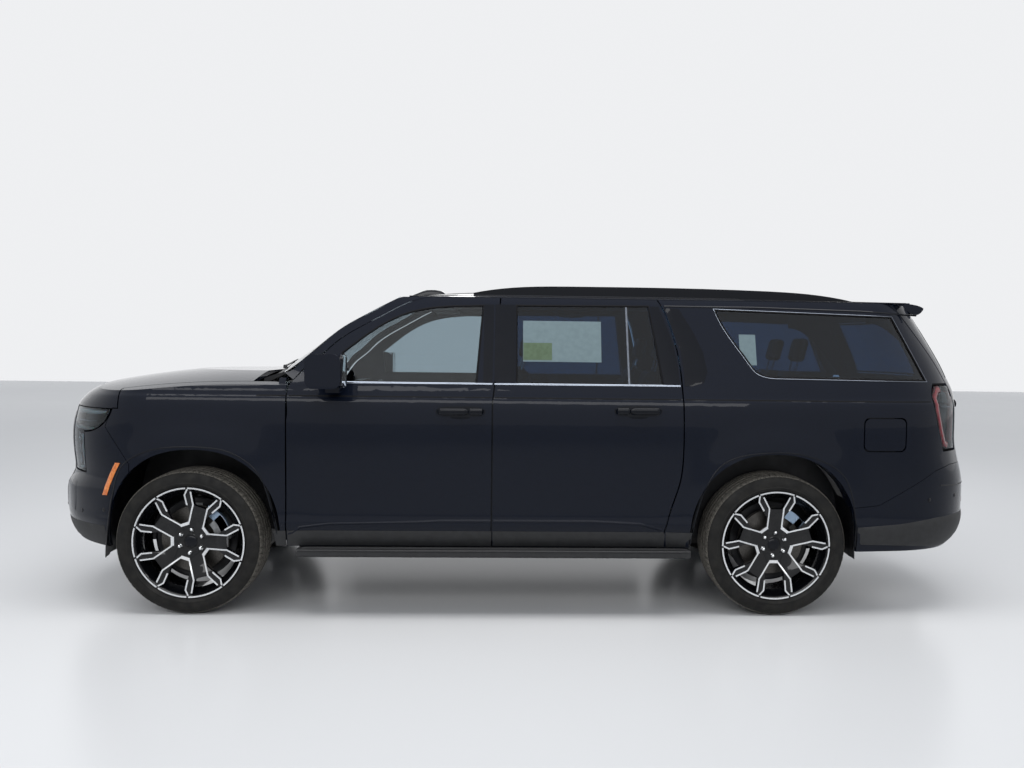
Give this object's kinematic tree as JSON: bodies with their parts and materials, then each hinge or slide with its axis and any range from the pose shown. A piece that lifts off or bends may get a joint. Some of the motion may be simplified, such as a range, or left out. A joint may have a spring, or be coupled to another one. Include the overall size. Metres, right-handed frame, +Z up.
{
  "type": "suv",
  "caption": "Full-size long-wheelbase SUV, whole vehicle with opening doors, hood and liftgate, steered front wheels and turning wheels",
  "frame": {"origin": "on the ground under the middle of the bounding box", "axes": "+X rearward, +Y to the vehicle's right, +Z up"},
  "size_m": [5.7418, 2.48, 1.936],
  "materials": {
    "paint": "gloss",
    "glass": "clear",
    "privacy_glass": "dark tint",
    "rubber": "matte",
    "wheel_metal": "gloss black with machined lines",
    "steel": "satin",
    "trim": "grained",
    "lens": "clear",
    "red_lens": "gloss",
    "upholstery": "satin",
    "interior": "grained"
  },
  "bodies": {
    "body": {"body_side_left": "paint", "body_side_right": "paint", "chassis_frame": "steel", "dashboard": "interior", "driveline": "steel", "engine_block": "steel", "exhaust": "steel", "fender_left": "paint", "fender_right": "paint", "floor_pan": "trim", "front_bumper": "paint", "front_seats": "upholstery", "front_suspension": "steel", "grille": "trim", "headlamps": "lens", "quarter_glass": "privacy_glass", "rear_bumper": "paint", "rear_seats": "upholstery", "rear_suspension": "steel", "roof": "paint", "roof_rails": "trim", "running_boards": "trim", "tail_lamps": "red_lens", "windshield": "glass"},
    "hood": {"hood": "paint"},
    "liftgate": {"liftgate": "paint", "rear_glass": "privacy_glass"},
    "fuel_flap": {"fuel_door": "paint"},
    "door_front_left": {"door_front_left": "paint", "glass_front_left": "glass", "mirror_left": "paint"},
    "wheel_front_left": {"wheel_front_left": "wheel_metal", "tyre_front_left": "rubber"},
    "door_front_right": {"door_front_right": "paint", "glass_front_right": "glass", "mirror_right": "paint"},
    "wheel_front_right": {"wheel_front_right": "wheel_metal", "tyre_front_right": "rubber"},
    "door_rear_left": {"door_rear_left": "paint", "glass_rear_left": "privacy_glass"},
    "wheel_rear_left": {"wheel_rear_left": "wheel_metal", "tyre_rear_left": "rubber"},
    "door_rear_right": {"door_rear_right": "paint", "glass_rear_right": "privacy_glass"},
    "wheel_rear_right": {"wheel_rear_right": "wheel_metal", "tyre_rear_right": "rubber"},
    "knuckle_left": {"knuckle_left": "steel"},
    "knuckle_right": {"knuckle_right": "steel"},
    "steering_wheel": {"steering_wheel": "interior"}
  },
  "joints": [
    {"name": "wheel_front_left", "type": "hinge", "parent": "knuckle_left", "child": "wheel_front_left", "pos_m": [-1.889, -0.8655, 0.4188], "axis": [0, 1, 0], "continuous": true},
    {"name": "wheel_rear_left", "type": "hinge", "parent": "body", "child": "wheel_rear_left", "pos_m": [1.517, -0.8655, 0.4188], "axis": [0, 1, 0], "continuous": true},
    {"name": "steer_left", "type": "hinge", "parent": "body", "child": "knuckle_left", "pos_m": [-1.889, -0.7905, 0.4188], "axis": [0, 0, 1], "range_deg": [-35, 35]},
    {"name": "door_front_left", "type": "hinge", "parent": "body", "child": "door_front_left", "pos_m": [-1.296, -1, 0.9], "axis": [0, 0, -1], "range_deg": [0, 68]},
    {"name": "door_rear_left", "type": "hinge", "parent": "body", "child": "door_rear_left", "pos_m": [-0.12, -1, 0.9], "axis": [0, 0, -1], "range_deg": [0, 72]},
    {"name": "wheel_front_right", "type": "hinge", "parent": "knuckle_right", "child": "wheel_front_right", "pos_m": [-1.889, 0.8655, 0.4188], "axis": [0, 1, 0], "continuous": true},
    {"name": "wheel_rear_right", "type": "hinge", "parent": "body", "child": "wheel_rear_right", "pos_m": [1.517, 0.8655, 0.4188], "axis": [0, 1, 0], "continuous": true},
    {"name": "steer_right", "type": "hinge", "parent": "body", "child": "knuckle_right", "pos_m": [-1.889, 0.7905, 0.4188], "axis": [0, 0, 1], "range_deg": [-35, 35]},
    {"name": "door_front_right", "type": "hinge", "parent": "body", "child": "door_front_right", "pos_m": [-1.296, 1, 0.9], "axis": [0, 0, 1], "range_deg": [0, 68]},
    {"name": "door_rear_right", "type": "hinge", "parent": "body", "child": "door_rear_right", "pos_m": [-0.12, 1, 0.9], "axis": [0, 0, 1], "range_deg": [0, 72]},
    {"name": "steering_wheel", "type": "hinge", "parent": "body", "child": "steering_wheel", "pos_m": [-0.8, -0.4, 1.165], "axis": [0.9061, 0, 0.423], "range_deg": [-525, 525]},
    {"name": "hood", "type": "hinge", "parent": "body", "child": "hood", "pos_m": [-1.575, 0, 1.34], "axis": [0, 1, 0], "range_deg": [0, 50]},
    {"name": "liftgate", "type": "hinge", "parent": "body", "child": "liftgate", "pos_m": [2.392, 0, 1.866], "axis": [0, -1, 0], "range_deg": [0, 88]},
    {"name": "fuel_flap", "type": "hinge", "parent": "body", "child": "fuel_flap", "pos_m": [2.022, -1.009, 1.075], "axis": [0, 0, -1], "range_deg": [0, 100]}
  ],
  "couplings": [
    {"joint": "steer_right", "follows": "steer_left", "ratio": 1},
    {"joint": "steering_wheel", "follows": "steer_left", "ratio": 15}
  ]
}
